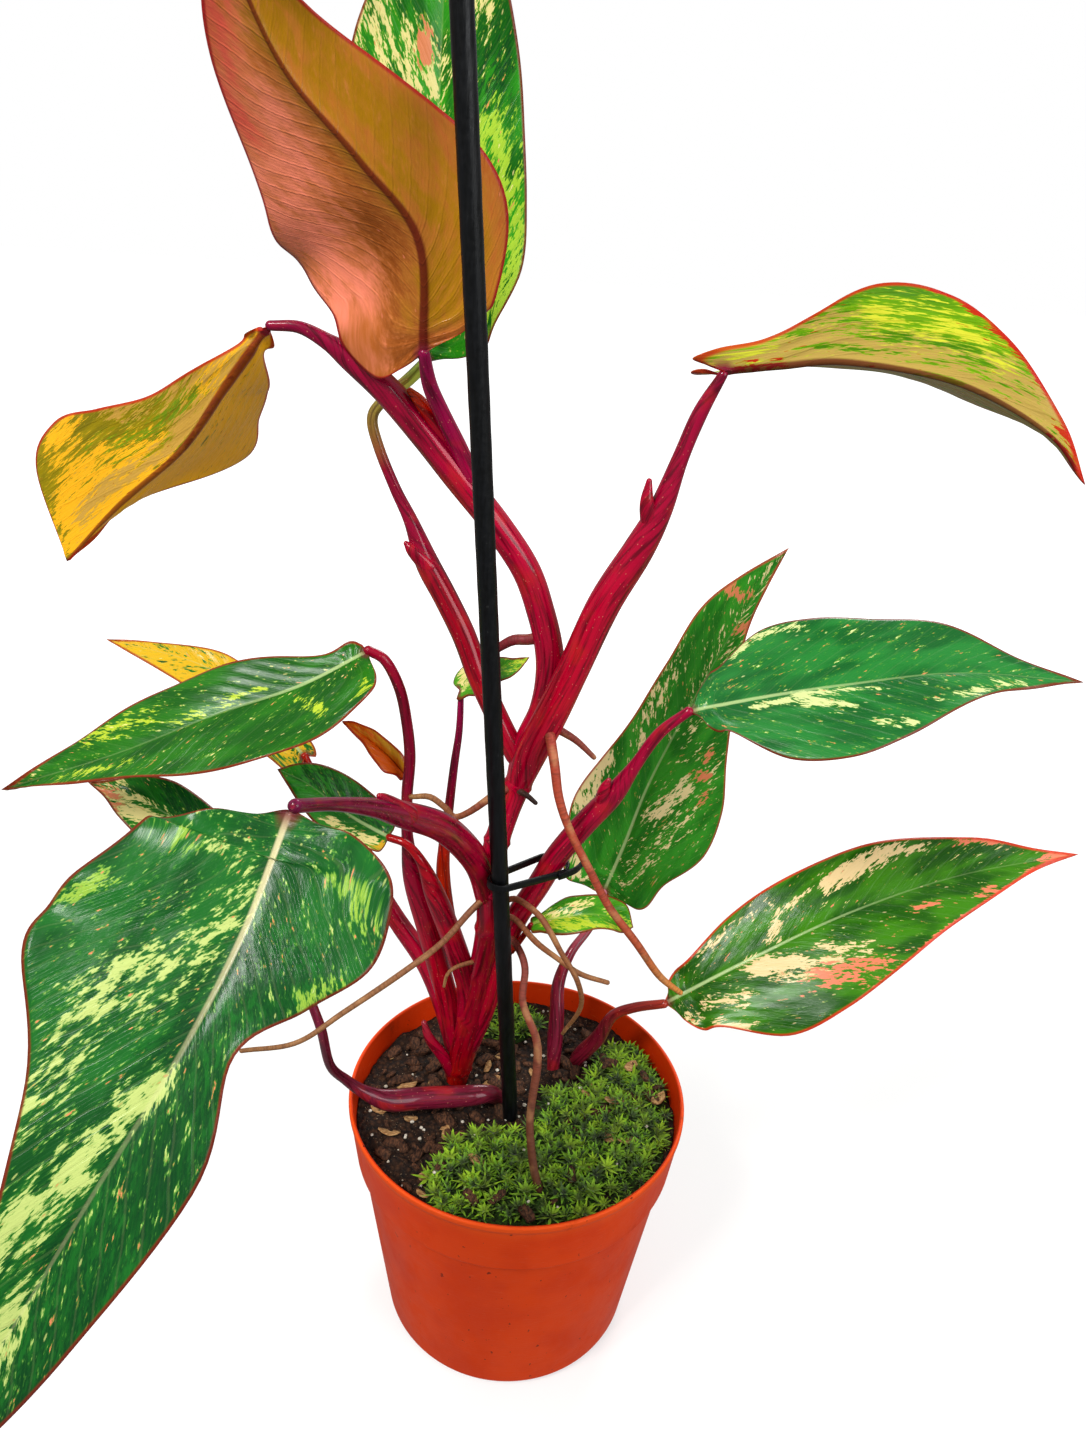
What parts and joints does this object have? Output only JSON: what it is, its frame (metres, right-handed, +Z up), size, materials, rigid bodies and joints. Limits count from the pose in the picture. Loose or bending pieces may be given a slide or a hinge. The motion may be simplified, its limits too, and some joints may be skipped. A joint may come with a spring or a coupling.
{
  "type": "potted strawberry shake philodendron",
  "caption": "Aroid house plant with long variegated leaves on crimson petioles, aerial roots, and a tied support stake, in a filled terracotta-orange nursery pot.",
  "frame": {"origin": "centre of the pot's flat base, on the surface that it stands on", "axes": "+Z up, +X to the right in the front view, +Y to the back, away from the viewer"},
  "size_m": [0.3554, 0.2444, 0.515],
  "materials": {
    "pot": "satin terracotta-orange plastic with dirt smudges",
    "soil": "crumbly dark bark and peat mix with pale specks",
    "moss": "soft bright green star moss",
    "stake": "satin black plastic rod",
    "tie": "satin black strap",
    "stem_crimson": "glossy crimson petioles and stem, tan aerial roots",
    "stem_maroon": "glossy maroon petioles",
    "leaf_green": "glossy green leaf with cream and yellow streaks",
    "leaf_mottled": "glossy yellow-green and cream mottled leaf",
    "leaf_olive": "olive and orange leaf with a red edge",
    "leaf_coral": "coral and olive-orange underside with a dark red midrib"
  },
  "bodies": {
    "root": {"pot": "pot", "soil": "soil", "moss_right": "moss", "moss_back": "moss", "stake": "stake", "tie": "tie", "stem_clump": "stem_crimson", "shoot_right_back": "stem_maroon", "shoot_right_low": "stem_maroon", "shoot_left_low": "stem_maroon", "leaf_front_left": "leaf_green", "leaf_top_left": "leaf_coral", "leaf_top_back": "leaf_mottled", "leaf_upper_left": "leaf_olive", "leaf_upper_right": "leaf_mottled", "leaf_left": "leaf_green", "leaf_left_back": "leaf_olive", "leaf_left_low": "leaf_green", "leaf_centre_left": "leaf_green", "leaf_small_orange": "leaf_olive", "leaf_right": "leaf_green", "leaf_right_back": "leaf_green", "leaf_right_low": "leaf_green", "leaf_small_right": "leaf_mottled", "leaf_small_middle": "leaf_mottled"}
  },
  "joints": []
}
